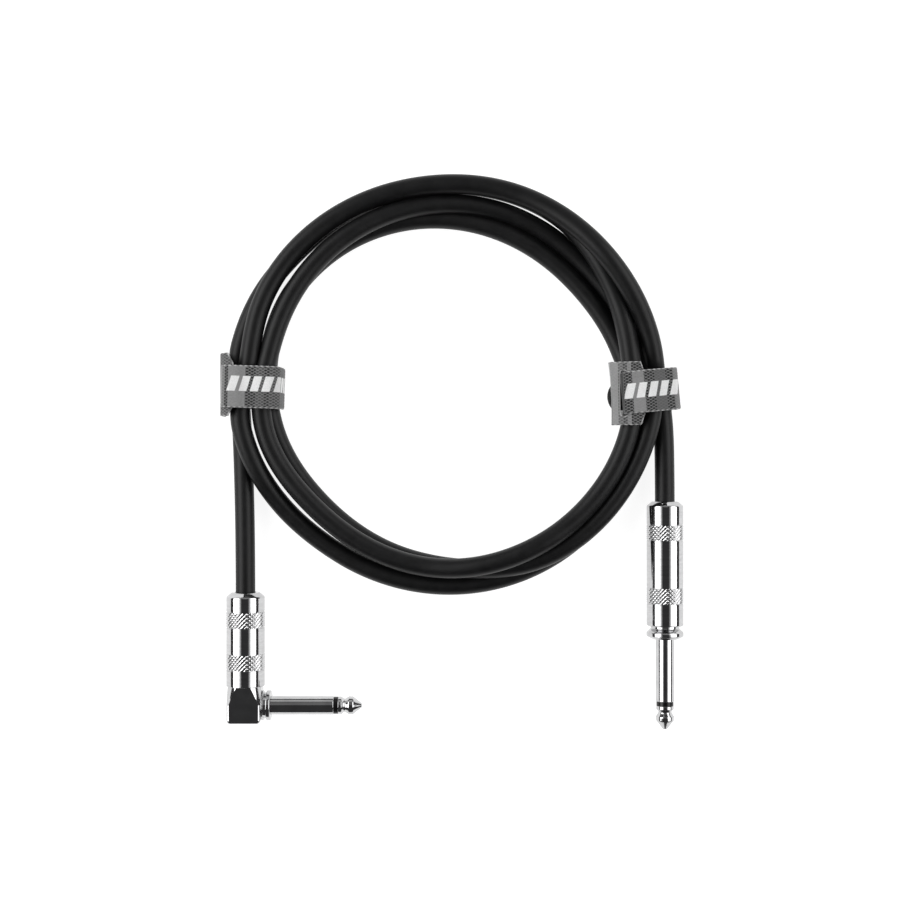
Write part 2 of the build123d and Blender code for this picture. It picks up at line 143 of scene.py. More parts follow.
# The right tie's head, from the edge of the cords: out past them, on top of them, and to its shoulders.
HEAD_OUT = 5.2
HEAD_ON_TOP = 6.6
HEAD_SHOULDER = 5.3
CLOTH_STEP = 0.1  # distance between a woven piece's points
SHEAR_END = 14.0  # where the slant of the cross lines has died out

# ---- weave ----
WEAVE = (1.8, 1.02)  # size of a diamond, along and across the webbing
THREAD_EDGE = 0.72  # level of the pattern where a top thread begins
THREAD_RISE = 0.2
THREAD_HEIGHT = 0.05
FIBRE_PITCH = 0.45
SELVAGE_W = 0.35
BAR_PITCH = 3.9
BAR_SHARE = 0.7  # of the pitch that is white
BAR_HALF = 2.55
BAR_SLANT = 0.28
BAR_TONE = 0.88
HOOK_PITCH = 0.75
HOOK_HEIGHT = 0.16
HOOK_TONE = 0.01
UNDERSIDE_TONE = 0.03
TO_END = math.inf
PLAIN_BLOCKS = [(TO_END, 0.35, 0.2)]


# ---------------------------------------------------------------- meshes


def add_object(name, verts, faces, body, material):
    """A mesh piece from points in millimetres, riding on a body if one is given."""
    mesh = bpy.data.meshes.new(name)
    mesh.from_pydata((np.asarray(verts) * MM).tolist(), [], faces)
    mesh.validate()
    mesh.polygons.foreach_set("use_smooth", [True] * len(mesh.polygons))
    obj = bpy.data.objects.new(name, mesh)
    bpy.context.scene.collection.objects.link(obj)
    obj.data.materials.append(material)
    if body:
        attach(obj, body)
    return obj


def rounded(corners, radii, step):
    """The line through corners with an arc at each that has a radius, as an array of points.

    step is the angle in degrees between an arc's points."""
    points = [np.array(corners[0], float)]
    for i in range(1, len(corners) - 1):
        at = np.array(corners[i], float)
        radius = radii.get(i, 0)
        if not radius:
            points.append(at)
            continue
        back = np.array(corners[i - 1], float) - at
        on = np.array(corners[i + 1], float) - at
        back /= np.linalg.norm(back)
        on /= np.linalg.norm(on)
        turn = math.pi - math.acos(np.clip(back @ on, -1, 1))
        reach = radius * math.tan(turn / 2)
        middle = back + on
        centre = at + middle / np.linalg.norm(middle) * math.hypot(radius, reach)
        start = at + back * reach - centre
        side = at + on * reach - centre
        count = max(2, int(math.degrees(turn) / step))
        for k in range(count + 1):
            share = k / count
            mix = start * math.sin((1 - share) * turn) + side * math.sin(share * turn)
            points.append(centre + mix / math.sin(turn))
    points.append(np.array(corners[-1], float))
    return np.array(points)


def ring_faces(rows, columns):
    """Quads between rows of points, each row closed to a ring."""
    faces = []
    for i in range(rows - 1):
        for j in range(columns):
            a = i * columns + j
            b = i * columns + (j + 1) % columns
            faces.append((a, b, b + columns, a + columns))
    return faces


# ---------------------------------------------------------------- materials


def new_material(name):
    material = bpy.data.materials.new(name)
    material.use_nodes = True
    nodes = material.node_tree.nodes
    return material, nodes, material.node_tree.links, nodes["Principled BSDF"]


def object_coordinates(nodes, links, scale=(1, 1, 1)):
    place = nodes.new("ShaderNodeTexCoord")
    mapping = nodes.new("ShaderNodeMapping")
    mapping.inputs["Scale"].default_value = scale
    links.new(place.outputs["Object"], mapping.inputs["Vector"])
    return mapping.outputs["Vector"]


def noise(nodes, links, vector, scale, detail=4.0, roughness=0.55):
    texture = nodes.new("ShaderNodeTexNoise")
    texture.inputs["Scale"].default_value = scale
    texture.inputs["Detail"].default_value = detail
    texture.inputs["Roughness"].default_value = roughness
    links.new(vector, texture.inputs["Vector"])
    return texture.outputs["Fac"]


def ramp(nodes, links, value, low, high):
    """A colour between low at 0.3 and high at 0.7 of the value."""
    texture = nodes.new("ShaderNodeValToRGB")
    texture.color_ramp.elements[0].position = 0.3
    texture.color_ramp.elements[1].position = 0.7
    texture.color_ramp.elements[0].color = (*low, 1)
    texture.color_ramp.elements[1].color = (*high, 1)
    links.new(value, texture.inputs["Fac"])
    return texture.outputs["Color"]


def spread(nodes, links, value, low, high):
    """The value, 0 to 1, mapped to low to high."""
    node = nodes.new("ShaderNodeMapRange")
    node.inputs["To Min"].default_value = low
    node.inputs["To Max"].default_value = high
    links.new(value, node.inputs["Value"])
    return node.outputs["Result"]


def bump(nodes, links, shader, value, strength, distance):
    node = nodes.new("ShaderNodeBump")
    node.inputs["Strength"].default_value = strength
    node.inputs["Distance"].default_value = distance * MM
    links.new(value, node.inputs["Height"])
    links.new(node.outputs["Normal"], shader.inputs["Normal"])


def textured(
    name, low, high, rough, metallic, scale, stretch=(1, 1, 1), bump_by=(0.1, 0.05), extra=None
):
    """A finish whose colour, roughness and surface follow a noise of that scale per metre."""
    material, nodes, links, shader = new_material(name)
    vector = object_coordinates(nodes, links, stretch)
    grain = noise(nodes, links, vector, scale)
    links.new(ramp(nodes, links, grain, low, high), shader.inputs["Base Color"])
    links.new(spread(nodes, links, grain, *rough), shader.inputs["Roughness"])
    shader.inputs["Metallic"].default_value = metallic
    for key, value in (extra or {}).items():
        shader.inputs[key].default_value = value
    fine = noise(nodes, links, vector, scale * 3)
    bump(nodes, links, shader, fine, *bump_by)
    return material


def make_materials():
    plated = {"low": (0.50, 0.50, 0.505), "high": (0.60, 0.60, 0.605), "metallic": 1.0}
    return {
        "cord_jacket": textured(
            "cord_jacket", (0.003, 0.003, 0.0032), (0.006, 0.006, 0.0064), (0.4, 0.5), 0.0, 260,
            bump_by=(0.25, 0.03), extra={"Specular IOR Level": 0.28},
        ),
        "handle_nickel": textured(
            "handle_nickel", rough=(0.05, 0.10), scale=220, stretch=(1, 6, 1), bump_by=(0.03, 0.01),
            **plated,
        ),
        "turned_nickel": textured(
            "turned_nickel", rough=(0.06, 0.13), scale=260, bump_by=(0.04, 0.01), **plated
        ),
        "black_insulator": textured(
            "black_insulator", (0.004, 0.004, 0.004), (0.008, 0.008, 0.008), (0.12, 0.22), 0.0, 900,
            extra={"Specular IOR Level": 0.3},
        ),
        "tinned_brass": textured(
            "tinned_brass", (0.62, 0.58, 0.46), (0.72, 0.69, 0.58), (0.2, 0.35), 1.0, 500
        ),
        "core_insulation": textured(
            "core_insulation", (0.72, 0.71, 0.66), (0.8, 0.79, 0.75), (0.35, 0.5), 0.0, 400
        ),
        "copper_screen": textured(
            "copper_screen", (0.6, 0.3, 0.16), (0.75, 0.42, 0.25), (0.25, 0.4), 1.0, 700, (1, 5, 1)
        ),
        "solder": textured("solder", (0.55, 0.55, 0.57), (0.7, 0.7, 0.72), (0.2, 0.4), 1.0, 900),
        "liner_plastic": textured(
            "liner_plastic", (0.7, 0.7, 0.67), (0.78, 0.78, 0.76), (0.35, 0.5), 0.0, 300
        ),
        "tie_hook": textured(
            "tie_hook", (0.008, 0.008, 0.008), (0.03, 0.03, 0.031), (0.5, 0.8), 0.0, 1800,
            bump_by=(0.8, 0.25),
        ),
        "tie_webbing": webbing_material(),
    }


def webbing_material():
    """The woven threads' tone comes from the mesh's own colours, with fibres as a fine grain on it."""
    material, nodes, links, shader = new_material("tie_webbing")
    threads = nodes.new("ShaderNodeVertexColor")
    threads.layer_name = "threads"
    vector = object_coordinates(nodes, links)
    fibres = noise(nodes, links, vector, 2600, 3.0, 0.7)
    mix = nodes.new("ShaderNodeMix")
    mix.data_type = "RGBA"
    mix.blend_type = "MULTIPLY"
    mix.inputs["Factor"].default_value = 1.0
    links.new(threads.outputs["Color"], mix.inputs["A"])
    links.new(ramp(nodes, links, fibres, (0.78, 0.78, 0.78), (1.0, 1.0, 1.0)), mix.inputs["B"])
    links.new(mix.outputs["Result"], shader.inputs["Base Color"])
    links.new(spread(nodes, links, fibres, 0.7, 0.9), shader.inputs["Roughness"])
    shader.inputs["Sheen Weight"].default_value = 0.12
    shader.inputs["Sheen Roughness"].default_value = 0.4
    bump(nodes, links, shader, fibres, 0.35, 0.08)
    return material


# ---------------------------------------------------------------- camera


def make_camera():
    data = bpy.data.cameras.new("camera")
    data.lens = CAMERA_LENS
    data.sensor_width = CAMERA_SENSOR
    data.clip_start = 0.01
    data.clip_end = 50
    camera = bpy.data.objects.new("camera", data)
    camera.location = CAMERA_AT
    bpy.context.scene.collection.objects.link(camera)
    bpy.context.scene.camera = camera


# ---------------------------------------------------------------- cord


def coil_point(turned):
    """The coil's centre line after that many degrees, smoothly between the stations around it."""
    keys = [s[0] for s in COIL_TURNS]
    i = int(np.clip(np.searchsorted(keys, turned) - 1, 0, len(keys) - 2))
    before, after = COIL_TURNS[i], COIL_TURNS[i + 1]
    gap = after[0] - before[0]
    share = (turned - before[0]) / gap

    def slope(k, axis):
        low, high = COIL_TURNS[max(k - 1, 0)], COIL_TURNS[min(k + 1, len(keys) - 1)]
        return (high[axis] - low[axis]) / (high[0] - low[0])

    values = []
    for axis in (1, 2):
        start, end = slope(i, axis) * gap, slope(i + 1, axis) * gap
        rise = share * share * (3 - 2 * share)
        value = before[axis] + (after[axis] - before[axis]) * rise
        value += start * share * (1 - share) ** 2 - end * share * share * (1 - share)
        values.append(value)
    radius, height = values
    angle = math.radians(180 - turned)
    x = COIL_CENTRE[0] + radius * math.cos(angle)
    y = COIL_CENTRE[1] + radius * math.sin(angle)
    return x, y, max(height, CORD_D / 2)


def cord_route():
    """The cord's points in millimetres, from the right-angle plug round the coil to the straight plug."""
    first, last = COIL_TURNS[0][0], COIL_TURNS[-1][0]
    count = round((last - first) / COIL_STEP)
    turns = [coil_point(first + (last - first) * k / count) for k in range(count + 1)]
    return ANGLE_LEAD + turns + STRAIGHT_LEAD


def make_cord(materials):
    curve = bpy.data.curves.new("cord", "CURVE")
    curve.dimensions = "3D"
    curve.bevel_depth = CORD_D / 2 * MM
    curve.bevel_resolution = 10
    curve.resolution_u = 6
    curve.use_fill_caps = True
    spline = curve.splines.new("NURBS")
    route = cord_route()
    spline.points.add(len(route) - 1)
    for point, at in zip(spline.points, route):
        point.co = (*(v * MM for v in at), 1)
    spline.order_u = 3
    spline.use_endpoint_u = True
    cord = bpy.data.objects.new("cord", curve)
    bpy.context.scene.collection.objects.link(cord)
    curve.materials.append(materials["cord_jacket"])
    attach(cord, "cable")
    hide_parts("cord_coil", "cord_lead_straight", "cord_lead_angle")
    return cord


# ---------------------------------------------------------------- handles


def fraction(value):
    return value - np.floor(value)


def knurl_cut(around, along, radius):
    """How deep two crossing families of grooves cut at an angle and a distance, in millimetres."""
    pitch = 2 * math.pi * radius / KNURL_STARTS
    cut = 0
    for sign, depth in zip((-1, 1), KNURL_DEPTH):
        phase = around * KNURL_STARTS / (2 * math.pi) + sign * along / pitch
        wall = np.abs(2 * fraction(phase) - 1)
        cut = np.maximum(cut, depth * np.clip((wall - KNURL_FLAT) / (1 - KNURL_FLAT), 0, 1))
    return cut


def handle_profile(radius, length, bands, front_round):
    """(distance from the front, radius, whether knurled) along the closed outline."""
    taper_across, taper_along = REAR_TAPER
    outer = [
        (radius - WALL, 0), (radius, 0), (radius, length - taper_along),
        (radius - taper_across, length), (ENTRY_R, length), (ENTRY_R, length - REAR_WALL),
    ]
    line = rounded(outer, {1: front_round, 2: 0.8, 3: 0.6, 4: 0.3}, step=9)
    chamber = radius - CHAMBER_WALL
    inner = [
        (chamber, length - REAR_WALL), (chamber, THREAD_L), (radius - WALL, THREAD_L), (radius - WALL, 0)
    ]
    rows = [(along, across, False) for across, along in [*line, *inner]]
    split = next(i for i, row in enumerate(rows) if row[0] > length / 2)
    knurled = []
    for near, far in sorted((length - b, length - a) for a, b in bands):
        knurled += [(near + step, radius - cut, False) for step, cut in GROOVE]
        for along in np.linspace(near, far, int((far - near) / KNURL_ROW)):
            knurled.append((along, radius, True))
        knurled += [(far - step, radius - cut, False) for step, cut in reversed(GROOVE)]
    return rows[:split] + knurled + rows[split:]


def make_handle(side, bands, front_round, materials):
    """A plug's handle, with its knurled bands cut in, round the CAD handle's own axis."""
    low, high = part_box(f"{side}_handle")
    low, high = np.array(low) / MM, np.array(high) / MM
    radius = (high[0] - low[0]) / 2
    centre = (low + high) / 2
    rows = handle_profile(radius, high[1] - low[1], bands, front_round)
    columns = KNURL_STARTS * KNURL_COLUMNS
    around = np.arange(columns) * 2 * math.pi / columns
    verts = []
    for along, across, knurled in rows:
        reach = np.full(columns, across)
        if knurled:
            reach = across - knurl_cut(around, along, radius)
        x = centre[0] + reach * np.sin(around)
        z = centre[2] + reach * np.cos(around)
        y = np.full(columns, low[1] + along)
        verts.append(np.stack([x, y, z], axis=1))
    faces = ring_faces(len(rows), columns)
    handle = add_object(
        f"{side}_handle_knurled", np.concatenate(verts), faces, f"{side}_handle_body",
        materials["handle_nickel"],
    )
    handle.data.set_sharp_from_angle(angle=math.radians(42))
    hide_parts(f"{side}_handle")


# ---------------------------------------------------------------- webbing


class Path:
    """A line in the tie's XZ plane that the webbing's middle follows."""

    def __init__(self, corners, radii):
        line = rounded(corners, radii, step=6)
        lengths = np.linalg.norm(np.diff(line, axis=0), axis=1)
        apart = lengths > SAME_POINT
        self.line = line[np.concatenate([[True], apart])]
        self.at = np.concatenate([[0], np.cumsum(lengths[apart])])
        self.length = self.at[-1]
        run = np.gradient(self.line, self.at, axis=0)
        self.run = run / np.linalg.norm(run, axis=1)[:, None]

    def place(self, along, across, height):
        """X, Y and Z of points at a distance along the line, beside it and above it."""
        x = np.interp(along, self.at, self.line[:, 0])
        z = np.interp(along, self.at, self.line[:, 1])
        run_x = np.interp(along, self.at, self.run[:, 0])
        run_z = np.interp(along, self.at, self.run[:, 1])
        size = np.hypot(run_x, run_z)
        return x - run_z / size * height, across, z + run_x / size * height


def box_distance(along, across, start, end, half, corner):
    """Distance outside a rounded rectangle, negative inside it."""
    a = np.abs(along - (start + end) / 2) - (end - start) / 2 + corner
    b = np.abs(across) - half + corner
    outside = np.hypot(np.maximum(a, 0), np.maximum(b, 0))
    return outside + np.minimum(np.maximum(a, b), 0) - corner


def tone_blocks(along, blocks):
    """(contrast, tone) of the weave at each place, from a list of (end, contrast, tone)."""
    ends = [b[0] for b in blocks]
    index = np.clip(np.searchsorted(ends, along), 0, len(blocks) - 1)
    contrast = np.array([b[1] for b in blocks])[index]
    tone = np.array([b[2] for b in blocks])[index]
    return contrast, tone


def weave(along, across):
    """1 on the threads that lie on top, 0 in the diamonds between them."""
    a = along / WEAVE[0]
    b = across / WEAVE[1]
    one = np.abs(2 * fraction(a + b) - 1)
    other = np.abs(2 * fraction(a - b) - 1)
    top = np.maximum(one, other)
    return np.clip((top - THREAD_EDGE) / THREAD_RISE, 0, 1)


def motif(along, across, start, middle):
    """1 on the row of slanted white bars."""
    shifted = along - start - (across - middle) * BAR_SLANT
    in_bar = fraction(shifted / BAR_PITCH) < BAR_SHARE
    inside = (np.abs(across - middle) < BAR_HALF) & (shifted > 0)
    return (in_bar & inside).astype(float)


def woven_tone(along, across, edge, blocks, motif_at=None):
    """(tone, relief) of the webbing. edge is the distance to the nearest edge.

    Where the contrast is low, a fine ripple of fibres shows instead of the diamonds."""
    contrast, tone = tone_blocks(along, blocks)
    threads = weave(along, across)
    light = tone * (1 - 0.05 * contrast)
    dark = tone * (1 - 0.97 * contrast)
    value = dark + (light - dark) * threads
    fine = np.sin(2 * math.pi * (along + across) / FIBRE_PITCH)
    value *= 1 + 0.10 * fine * (1 - contrast)
    relief = THREAD_HEIGHT * threads
    if motif_at:
        white = motif(along, across, *motif_at)
        value = value * (1 - white) + white * (BAR_TONE + 0.06 * fine)
        relief = relief * (1 - white) + white * (0.07 + 0.015 * fine)
    rim = np.clip(1 - (edge - 0.1) / SELVAGE_W, 0, 1)
    dots = 0.5 + 0.5 * np.sin(2 * math.pi * along / WEAVE[0])
    value = value * (1 - rim) + rim * (0.15 + 0.6 * dots)
    relief = relief + THREAD_HEIGHT * rim * dots
    return value, relief


def cloth(
    name, path, span, half, outline, paint, body, tie, material,
    thick=WEB_SHOWN_T, step=CLOTH_STEP, shear=0.0,
):
    """A closed sheet of webbing that follows a path, cut to outline(along, across) < 0.

    The grid's cells outside the outline are left out, and its rim is drawn onto the outline in a few
    steps down the outline's slope. paint(along, across, edge) gives each place's tone and relief on the
    outer face. shear slants the cross lines of the first SHEAR_END millimetres."""
    rows = np.linspace(*span, int((span[1] - span[0]) / step) + 2)
    columns = np.linspace(-half, half, int(2 * half / step) + 2)
    along, across = np.meshgrid(rows, columns, indexing="ij")
    centre_s = (along[:-1, :-1] + along[1:, 1:]) / 2
    centre_t = (across[:-1, :-1] + across[1:, 1:]) / 2
    kept = outline(centre_s, centre_t) < 0
    around = np.zeros(along.shape, int)
    for di in (0, 1):
        for dj in (0, 1):
            around[di : di + kept.shape[0], dj : dj + kept.shape[1]] += kept
    used = around > 0
    rim = used & (around < 4)
    tiny = 0.01
    for _ in range(3):
        distance = outline(along, across)
        slope_s = (outline(along + tiny, across) - distance) / tiny
        slope_t = (outline(along, across + tiny) - distance) / tiny
        size = slope_s**2 + slope_t**2 + 1e-9
        along = np.where(rim, along - distance * slope_s / size, along)
        across = np.where(rim, across - distance * slope_t / size, across)
    edge = np.where(rim, 0, np.maximum(-outline(along, across), 0))
    inset = np.clip(edge / (thick / 2), 0, 1)
    height = thick / 2 * np.sqrt(1 - (1 - inset) ** 2)
    tone, relief = paint(along, across, edge)
    relief = relief * inset
    top = np.full(along.shape, -1)
    top[used] = np.arange(used.sum())
    bottom = top.copy()
    inner = used & ~rim
    bottom[inner] = used.sum() + np.arange(inner.sum())
    outer_face = np.stack(path.place(along[used], across[used], (height + relief)[used]), axis=1)
    inner_face = np.stack(path.place(along[inner], across[inner], -height[inner]), axis=1)
    slant = shear * across * np.clip(1 - along / SHEAR_END, 0, 1)
    outer_face[:, 0] += slant[used]
    inner_face[:, 0] += slant[inner]
    verts = np.concatenate([outer_face, inner_face])
    faces = []
    for i, j in np.argwhere(kept):
        quad = ((i, j), (i + 1, j), (i + 1, j + 1), (i, j + 1))
        faces.append([int(top[p]) for p in reversed(quad)])
        faces.append([int(bottom[p]) for p in quad])
    turn = math.radians(tie["turn"])
    middle = sum(tie["sides"]) / 2
    x, y, z = verts.T
    placed = np.stack(
        [
            middle + x * math.cos(turn) - y * math.sin(turn),
            tie["y"] + x * math.sin(turn) + y * math.cos(turn),
            z,
        ],
        axis=1,
    )
    obj = add_object(name, placed, faces, body, material)
    tones = np.concatenate([tone[used], np.full(inner.sum(), UNDERSIDE_TONE)])
    layer = obj.data.color_attributes.new("threads", "FLOAT_COLOR", "POINT")
    colours = np.stack([tones, tones, tones, np.ones(len(tones))], axis=1)
    layer.data.foreach_set("color", colours.ravel())
    return obj


def tie_width(tie):
    return tie["sides"][1] - tie["sides"][0]


def loop_path(half, layer, lean):
    """Once round the cords from the top's middle, clockwise seen from the -Y side, layer webbings out.

    The top of the -X side leans in by lean."""
    x = half + layer * WEB_T
    low = WEB_T * (1 - layer)
    high = BUNDLE_TOP + layer * WEB_T
    radius = BUNDLE_ROUNDING + layer * WEB_T
    corners = [
        (0.5, high), (x, high), (x, low), (-x, low), (-x, high / 2), (lean - x, high), (1.1, high)
    ]
    return Path(corners, {1: radius, 2: radius, 3: radius, 4: 6.0, 5: radius})


def make_band(side, tie, materials):
    """The tie's loop round the cords."""
    path = loop_path(tie_width(tie) / 2, 0.5, tie["lean"])
    half = STRAP_W / 2

    def outline(s, t):
        return box_distance(s, t, 0, path.length, half, 0.3)

    def paint(s, t, edge):
        return woven_tone(s, t, edge, PLAIN_BLOCKS)

    band = cloth(
        f"{side}_tie_loop", path, (0, path.length), half, outline, paint, "cable", tie,
        materials["tie_webbing"], step=0.3,
    )
    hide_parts(f"{side}_tie_band")


def strap_end(half):
    """Corners of the strap's way down the +X side, to the top of the free tail."""
    out = half + 1.5 * WEB_T
    return [(out, BUNDLE_TOP + 1.5 * WEB_T), (out, TAIL_TOP)]


def shoulders(along, across, start, end):
    """Distance outside the head's two shoulders, which narrow it to the strap's width at its end."""
    narrowing = (HEAD_W - STRAP_W) / 2
    length = end - start
    cut = (along - start) * narrowing + (np.abs(across) - HEAD_W / 2) * length
    return cut / math.hypot(length, narrowing)


def make_right_top(tie, materials):
    """The head flat on the cords, with the strap that comes up through its slot and folds back over."""
    edge = -tie_width(tie) / 2
    level = BUNDLE_TOP + 0.65
    out = HEAD_OUT + 0.6
    head_at = {**tie, "turn": 0.8, "y": tie["y"] - 0.8}
    head_corners = [
        (edge - out, level), (edge - 1.6, level + 0.5), (edge + 2.2, level + 1.6), (edge + 9, level + 1.6)
    ]
    head_path = Path(head_corners, {1: 8.0, 2: 6.0})
    half_head = HEAD_W / 2
    head_end = out + HEAD_ON_TOP
    slot_from, slot_to = out - 1.75, out + 0.8
    head_blocks = [
        (3.3, 0.1, 0.36), (5.0, 0.6, 0.32), (6.4, 0.85, 0.28), (7.8, 0.3, 0.32), (TO_END, 1.0, 0.25)
    ]

    def outline(s, t):
        hollow = 0.45 * np.cos(math.pi * t / HEAD_W) + 0.04 * (half_head - t)
        body = np.maximum(box_distance(s, t, 0, head_end, half_head, 0.5), hollow - s)
        slot = box_distance(s, t, slot_from, slot_to, STRAP_W / 2 + 0.45, 1.0)
        cut = shoulders(s, t, out + HEAD_SHOULDER, head_end)
        return np.maximum(np.maximum(body, cut), -slot)

    def paint(s, t, edge_at):
        return woven_tone(s, t, edge_at, head_blocks)

    cloth(
        "right_tie_head", head_path, (0, head_end), half_head, outline, paint, "cable", head_at,
        materials["tie_webbing"],
    )
    high = BUNDLE_TOP + 1.5 * WEB_T + 1.55
    corners = [
        (edge - 0.1, BUNDLE_TOP - 4), (edge - 0.1, high - 0.5), (edge + 2.8, high), (edge + 8.0, high),
        (-edge - 2.6, BUNDLE_TOP + 1.5 * WEB_T), *strap_end(-edge),
    ]
    blocks = [
        (8.8, 1.0, 0.26), (12.8, 0.1, 0.28), (16.4, 1.0, 0.26), (20.6, 0.35, 0.16), (23.0, 1.0, 0.26),
        (TO_END, 0.3, 0.27),
    ]
    radii = {1: 1.15, 2: 6.0, 3: 8.0, 4: 6.0, 5: BUNDLE_ROUNDING}
    make_strap("right", tie, corners, radii, blocks, (6.6, 0.45), materials, shear=0.08)


def make_left_top(tie, materials):
    """The head wrapped round the outer side, and the strap that comes out of it and over the top."""
    head_at = {**tie, "turn": 0.0, "y": tie["y"] + 0.85}
    edge = -tie_width(tie) / 2
    x = edge - 1.5 * WEB_T
    high = BUNDLE_TOP + 1.45 * WEB_T
    radius = BUNDLE_ROUNDING + 1.5 * WEB_T
    head_path = Path([(x, 2.6), (x, high), (edge + 6.5, high)], {1: radius})
    half_head = HEAD_W / 2
    head_end = head_path.length - 3.4

    def outline(s, t):
        body = box_distance(s, t, 0, head_end, half_head, 1.6)
        return np.maximum(body, shoulders(s, t, head_end - 1.9, head_end))

    def paint(s, t, edge_at):
        return woven_tone(s, t, edge_at, [(TO_END, 0.8, 0.28)])

    cloth(
        "left_tie_head", head_path, (0, head_end), half_head, outline, paint, "cable", head_at,
        materials["tie_webbing"], thick=0.8,
    )
    outer = edge - 1.05
    above = BUNDLE_TOP + 2.2 * WEB_T
    corners = [
        (outer - 0.5, 9.6), (outer, 11.6), (outer, above), (edge + 4.5, above),
        (edge + 6.8, BUNDLE_TOP + 1.5 * WEB_T), *strap_end(-edge),
    ]
    radii = {1: 2.0, 2: 3.2, 3: 5.0, 4: 5.0, 5: BUNDLE_ROUNDING}
    blocks = [
        (6.6, 0.2, 0.36), (7.9, 0.5, 0.3), (9.0, 1.0, 0.24), (14.7, 0.08, 0.28), (18.2, 1.0, 0.26),
        (21.2, 0.8, 0.26), (23.0, 1.0, 0.26), (TO_END, 0.8, 0.28),
    ]
    make_strap("left", tie, corners, radii, blocks, (9.3, 1.0), materials)


def make_strap(side, tie, corners, radii, blocks, motif_at, materials, shear=0.0):
    """The folded-back strap, and the tail that hangs from it and bends where it is peeled off."""
    path = Path(corners, radii)
    half = STRAP_W / 2

    def outline(s, t):
        return box_distance(s, t, 0, path.length + 0.4, half, 0.3)

    def paint(s, t, _):
        return woven_tone(s, t, half - np.abs(t), blocks, motif_at)

    cloth(
        f"{side}_tie_strap", path, (0, path.length), half, outline, paint, "cable", tie,
        materials["tie_webbing"], shear=shear,
    )
    make_tail(side, tie, path.length, blocks, motif_at, materials)


def make_tail(side, tie, start, blocks, motif_at, materials):
    """The strap's free end, which goes on with the strap's pattern from start and bends at its hinge."""
    out = tie_width(tie) / 2 + 1.5 * WEB_T
    low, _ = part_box(f"{side}_tie_tail")
    tail_x = tie_width(tie) / 2 + WEB_T + 0.9
    bottom = low.z / MM + 0.3
    path = Path(
        [(out, TAIL_TOP + TAIL_LAP), (out, TAIL_TOP), (tail_x, TAIL_TOP - 3.5), (tail_x, bottom)],
        {1: 6.0, 2: 6.0},
    )
    half = STRAP_W / 2

    def outline(s, t):
        return box_distance(s, t, -1, path.length, half, 1.2)

    def paint(s, t, _):
        return woven_tone(s + start - TAIL_LAP, t, half - np.abs(t), blocks, motif_at)

    tail = cloth(
        f"{side}_tie_tail_woven", path, (0, path.length), half, outline, paint, None, tie,
        materials["tie_webbing"], thick=0.85,
    )
    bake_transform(tail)
    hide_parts(f"{side}_tie_tail")


def hook_relief(along, across):
    """Rows of small hooks."""
    a = np.sin(2 * math.pi * along / HOOK_PITCH)
    b = np.sin(2 * math.pi * across / HOOK_PITCH)
    return HOOK_HEIGHT * np.clip(a * b, 0, 1)


def make_hook_pads(materials):
    """The hook patch inside each tail."""
    for side, tie in TIES.items():
        low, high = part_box(f"{side}_tie_hook_pad")
        x = tie_width(tie) / 2 + WEB_T + 0.2
        path = Path([(x, low.z / MM), (x, (low.z + high.z) / 2 / MM), (x, high.z / MM - 1.5)], {})
        half = STRAP_W / 2 - 1.0

        def outline(s, t):
            return box_distance(s, t, 0, path.length, half, 0.8)

        def paint(s, t, edge):
            return np.full(s.shape, HOOK_TONE), hook_relief(s, t)

        pad = cloth(
            f"{side}_tie_hooks", path, (0, path.length), half, outline, paint, f"{side}_tail_body", tie,
            materials["tie_hook"], thick=0.3,
        )
        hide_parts(f"{side}_tie_hook_pad")


def make_head_hooks_and_painted_shade(materials):
    """The rounded black hook patch sewn under the right tie's head, which shows past its free edge; its
    near-black is partly the hooks' own colour and partly painted shade of the strap's edge there.
    """
    tie = TIES["right"]
    edge = -tie_width(tie) / 2
    level = BUNDLE_TOP - 0.15
    corners = [(edge - HEAD_OUT - 1.1, level - 0.4), (edge - 3, level), (edge - 1.2, level)]
    path = Path(corners, {1: 6.0})
    radius, half_chord, off_middle = 6.4, 4.5, 1.2

    def outline(s, t):
        disc = np.hypot(s - 0.1 - radius, t + off_middle) - radius
        return np.maximum(np.maximum(disc, s - path.length + 0.1), np.abs(t + off_middle) - half_chord)

    def paint(s, t, edge_at):
        return np.full(s.shape, HOOK_TONE), hook_relief(s, t)

    # near-black hook patch: the hooks' own black, and also painted shade where the strap's edge turns
    # under the head
    cloth(
        "right_tie_head_hooks_and_painted_shade", path, (0, path.length), 7.2, outline, paint, "cable", tie,
        materials["tie_hook"], thick=0.6,
    )


# ---------------------------------------------------------------- shown CAD nodes


def finish_cad_nodes(materials):
    """The materials of the CAD nodes that no other piece replaces."""
    slots = {row["node"]: row["material_slot"] for row in frame["record"]["subparts"]}
    for name, obj in frame["nodes"].items():
        if obj.hide_render:
            continue
        obj.data.materials.clear()
        obj.data.materials.append(materials[slots[name]])
        obj.data.polygons.foreach_set("use_smooth", [True] * len(obj.data.polygons))
        obj.data.set_sharp_from_angle(angle=math.radians(30))


# ---------------------------------------------------------------- stage


def make_floor():
    """A white table top that glows a little, as pale in the picture as its surroundings."""
    mesh = bpy.data.meshes.new("floor")
    h = FLOOR_HALF
    mesh.from_pydata([(-h, -h, 0), (h, -h, 0), (h, h, 0), (-h, h, 0)], [], [(0, 1, 2, 3)])
    floor = bpy.data.objects.new("floor", mesh)
    bpy.context.scene.collection.objects.link(floor)
    material, nodes, links, shader = new_material("floor")
    vector = object_coordinates(nodes, links)
    grain = noise(nodes, links, vector, 40)
    tone = ramp(nodes, links, grain, (0.3, 0.3, 0.3), (0.32, 0.32, 0.32))
    links.new(tone, shader.inputs["Base Color"])
    shader.inputs["Roughness"].default_value = 0.9
    shader.inputs["Specular IOR Level"].default_value = 0.1
    shader.inputs["Emission Color"].default_value = (1, 1, 1, 1)
    shader.inputs["Emission Strength"].default_value = FLOOR_GLOW
    mesh.materials.append(material)


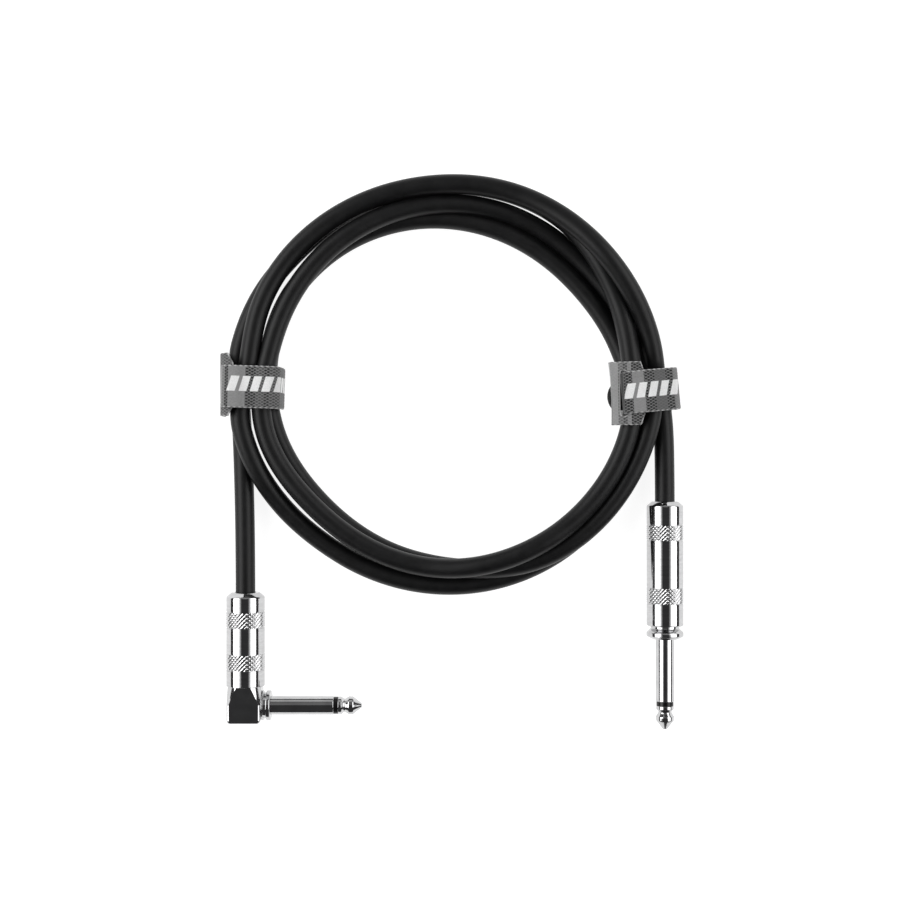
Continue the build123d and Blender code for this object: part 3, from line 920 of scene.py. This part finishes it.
def softbox(name, base, top, width, radiance):
    """A tilted panel of light between two heights, facing down to the object."""
    base, top = Vector(base), Vector(top)
    up = (top - base).normalized()
    middle = (base + top) / 2
    across = Vector((-up.y, up.x, 0)).normalized()
    facing = across.cross(up)
    if facing.dot(middle) < 0:
        across = -across
        facing = -facing
    data = bpy.data.lights.new(name, "AREA")
    data.shape = "RECTANGLE"
    data.size = width
    data.size_y = (top - base).length
    data.energy = radiance * math.pi * data.size * data.size_y
    light = bpy.data.objects.new(name, data)
    light.matrix_world = Matrix.Translation(middle) @ Matrix((across, up, facing)).transposed().to_4x4()
    light.visible_camera = False
    bpy.context.scene.collection.objects.link(light)


def make_lights():
    for name, side, radiance in SOFTBOXES:
        mirror = Vector((side, 1, 1))
        foot, head = SOFTBOX_FOOT * mirror, SOFTBOX_HEAD * mirror
        for k, (start, end, share) in enumerate(SOFTBOX_STRIPS):
            base, top = foot.lerp(head, start), foot.lerp(head, end)
            softbox(f"{name}_{k}", base, top, SOFTBOX_WIDTH, radiance * share)
    for fill in FILLS:
        softbox(*fill)


def make_world():
    """Dim for light and reflections, and as pale as the floor where it is seen itself."""
    world = bpy.data.worlds.new("world")
    bpy.context.scene.world = world
    world.use_nodes = True
    nodes, links = world.node_tree.nodes, world.node_tree.links
    dim = nodes["Background"]
    dim.inputs["Color"].default_value = (*WORLD_DIM, 1)
    pale = nodes.new("ShaderNodeBackground")
    pale.inputs["Color"].default_value = (*WORLD_PALE, 1)
    mix = nodes.new("ShaderNodeMixShader")
    rays = nodes.new("ShaderNodeLightPath")
    links.new(rays.outputs["Is Camera Ray"], mix.inputs["Fac"])
    links.new(dim.outputs["Background"], mix.inputs[1])
    links.new(pale.outputs["Background"], mix.inputs[2])
    links.new(mix.outputs["Shader"], nodes["World Output"].inputs["Surface"])


# ---------------------------------------------------------------- the scene


def main():
    make_camera()
    materials = make_materials()
    cord = make_cord(materials)
    make_handle("straight", STRAIGHT_BANDS, 0.5, materials)
    make_handle("angle", ANGLE_BANDS, 0.3, materials)
    for side, tie in TIES.items():
        make_band(side, tie, materials)
    make_left_top(TIES["left"], materials)
    make_right_top(TIES["right"], materials)
    make_hook_pads(materials)
    make_head_hooks_and_painted_shade(materials)
    finish_cad_nodes(materials)
    make_floor()
    make_lights()
    make_world()
    bpy.context.scene.view_settings.view_transform = "Standard"


main()
